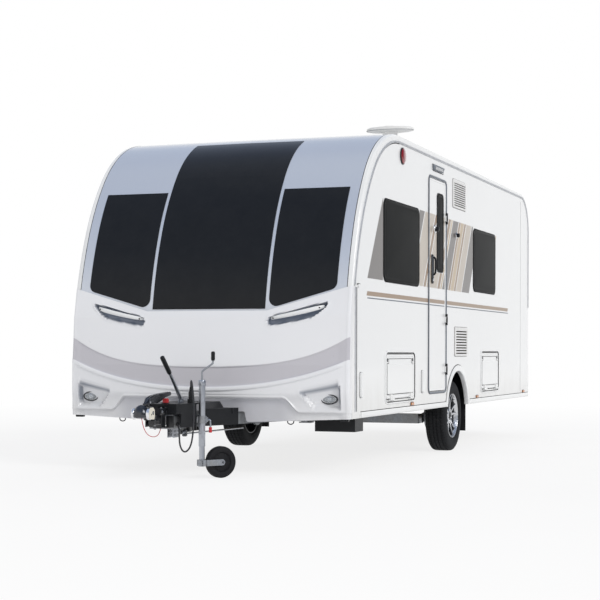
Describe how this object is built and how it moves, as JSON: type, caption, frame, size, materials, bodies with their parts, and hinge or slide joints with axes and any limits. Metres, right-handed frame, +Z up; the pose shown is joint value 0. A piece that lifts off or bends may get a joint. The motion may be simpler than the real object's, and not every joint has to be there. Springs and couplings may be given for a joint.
{
  "type": "travel caravan",
  "caption": "Single-axle travel caravan with a curved glazed front, side door, lockers, corner steadies, braked coupling and a swivelling jockey wheel.",
  "frame": {"origin": "on the ground, under the middle of the whole vehicle's length and width", "axes": "+Z up; the coupling points to -Y; the door side is +X"},
  "size_m": [2.346, 7.65, 2.8079],
  "materials": {
    "floor_ply": "satin",
    "wall_white": "gloss",
    "panel_silver": "gloss",
    "moulding_white": "gloss",
    "window_dark": "gloss",
    "rooflight_acrylic": "gloss",
    "black_plastic": "satin",
    "alloy_trim": "gloss",
    "vent_white": "satin",
    "lamp_clear": "gloss",
    "lamp_amber": "gloss",
    "lamp_red": "gloss",
    "handle_white": "gloss",
    "hinge_white": "gloss",
    "rubber_black": "satin",
    "galvanised": "satin",
    "cast_silver": "gloss",
    "black_steel": "satin",
    "zinc_steel": "gloss",
    "cable_black": "satin",
    "cable_red": "satin",
    "tyre": "gloss",
    "alloy_rim": "gloss"
  },
  "bodies": {
    "root": {"floor_panel": "floor_ply", "side_wall_near": "wall_white", "side_wall_off": "wall_white", "front_panel_upper": "panel_silver", "front_moulding_lower": "moulding_white", "roof_panel": "wall_white", "rear_panel": "wall_white", "rear_bumper": "moulding_white", "front_windows": "window_dark", "side_windows": "window_dark", "rooflights": "rooflight_acrylic", "wheel_boxes": "black_plastic", "wheel_arch_trims": "moulding_white", "awning_rails": "alloy_trim", "fridge_vents": "vent_white", "roof_aerial": "vent_white", "front_lamps": "lamp_clear", "side_markers": "lamp_amber", "rear_lamps": "lamp_red", "grab_handles": "handle_white", "hinge_leaves": "hinge_white", "mudflaps": "rubber_black", "chassis_rails": "galvanised", "cross_members": "galvanised", "axle_beam": "galvanised", "drawbar_frame": "galvanised", "drawbar_cover": "black_plastic", "coupling": "cast_silver", "coupling_handle": "black_steel", "brake_lever": "black_steel", "jockey_tube": "zinc_steel", "plug_holder": "black_plastic", "tow_plug": "black_plastic", "tow_lead": "cable_black", "breakaway_cable": "cable_red", "service_box": "black_plastic"},
    "door": {"door_panel": "wall_white", "door_window": "window_dark", "door_handle": "black_plastic"},
    "locker_door_front": {"locker_door_front": "wall_white"},
    "locker_door_rear": {"locker_door_rear": "wall_white"},
    "cassette_door": {"cassette_door": "wall_white"},
    "battery_door": {"battery_door": "wall_white"},
    "wheel_near": {"tyre_near": "tyre", "rim_near": "alloy_rim"},
    "wheel_off": {"tyre_off": "tyre", "rim_off": "alloy_rim"},
    "steady_front_near": {"steady_front_near": "galvanised"},
    "steady_front_off": {"steady_front_off": "galvanised"},
    "steady_rear_near": {"steady_rear_near": "galvanised"},
    "steady_rear_off": {"steady_rear_off": "galvanised"},
    "jockey_stem": {"jockey_stem": "zinc_steel"},
    "jockey_fork": {"jockey_fork": "zinc_steel"},
    "jockey_wheel": {"jockey_wheel": "rubber_black"}
  },
  "joints": [
    {"name": "wheel_near_spin", "type": "hinge", "parent": "root", "child": "wheel_near", "pos_m": [1.0045, 0.565, 0.325], "axis": [1, 0, 0], "continuous": true},
    {"name": "wheel_off_spin", "type": "hinge", "parent": "root", "child": "wheel_off", "pos_m": [-1.0045, 0.565, 0.325], "axis": [1, 0, 0], "continuous": true},
    {"name": "door_hinge", "type": "hinge", "parent": "root", "child": "door", "pos_m": [1.154, 0.098, 1.5], "axis": [0, 0, 1], "range_deg": [0, 170]},
    {"name": "locker_door_front_hinge", "type": "hinge", "parent": "root", "child": "locker_door_front", "pos_m": [1.154, -1.3305, 0.538], "axis": [0, 1, 0], "range_deg": [0, 95]},
    {"name": "locker_door_rear_hinge", "type": "hinge", "parent": "root", "child": "locker_door_rear", "pos_m": [1.154, 1.8735, 0.548], "axis": [0, 1, 0], "range_deg": [0, 95]},
    {"name": "cassette_door_hinge", "type": "hinge", "parent": "root", "child": "cassette_door", "pos_m": [-1.154, 2.92, 0.563], "axis": [0, -1, 0], "range_deg": [0, 95]},
    {"name": "battery_door_hinge", "type": "hinge", "parent": "root", "child": "battery_door", "pos_m": [-1.154, -0.795, 0.563], "axis": [0, -1, 0], "range_deg": [0, 95]},
    {"name": "steady_front_near_swing", "type": "hinge", "parent": "root", "child": "steady_front_near", "pos_m": [0.65, -1.765, 0.392], "axis": [1, 0, 0], "range_deg": [0, 44]},
    {"name": "steady_front_off_swing", "type": "hinge", "parent": "root", "child": "steady_front_off", "pos_m": [-0.65, -1.765, 0.392], "axis": [1, 0, 0], "range_deg": [0, 44]},
    {"name": "steady_rear_near_swing", "type": "hinge", "parent": "root", "child": "steady_rear_near", "pos_m": [0.65, 2.815, 0.392], "axis": [-1, 0, 0], "range_deg": [0, 44]},
    {"name": "steady_rear_off_swing", "type": "hinge", "parent": "root", "child": "steady_rear_off", "pos_m": [-0.65, 2.815, 0.392], "axis": [-1, 0, 0], "range_deg": [0, 44]},
    {"name": "jockey_lift", "type": "slide", "parent": "root", "child": "jockey_stem", "axis": [0, 0, 1], "range_m": [0, 0.088]},
    {"name": "jockey_swivel", "type": "hinge", "parent": "jockey_stem", "child": "jockey_fork", "pos_m": [0.196, -3.18, 0.1], "axis": [0, 0, 1], "continuous": true},
    {"name": "jockey_wheel_spin", "type": "hinge", "parent": "jockey_fork", "child": "jockey_wheel", "pos_m": [0.29242, -3.06509, 0.115], "axis": [0.766, -0.6428, 0], "continuous": true}
  ]
}
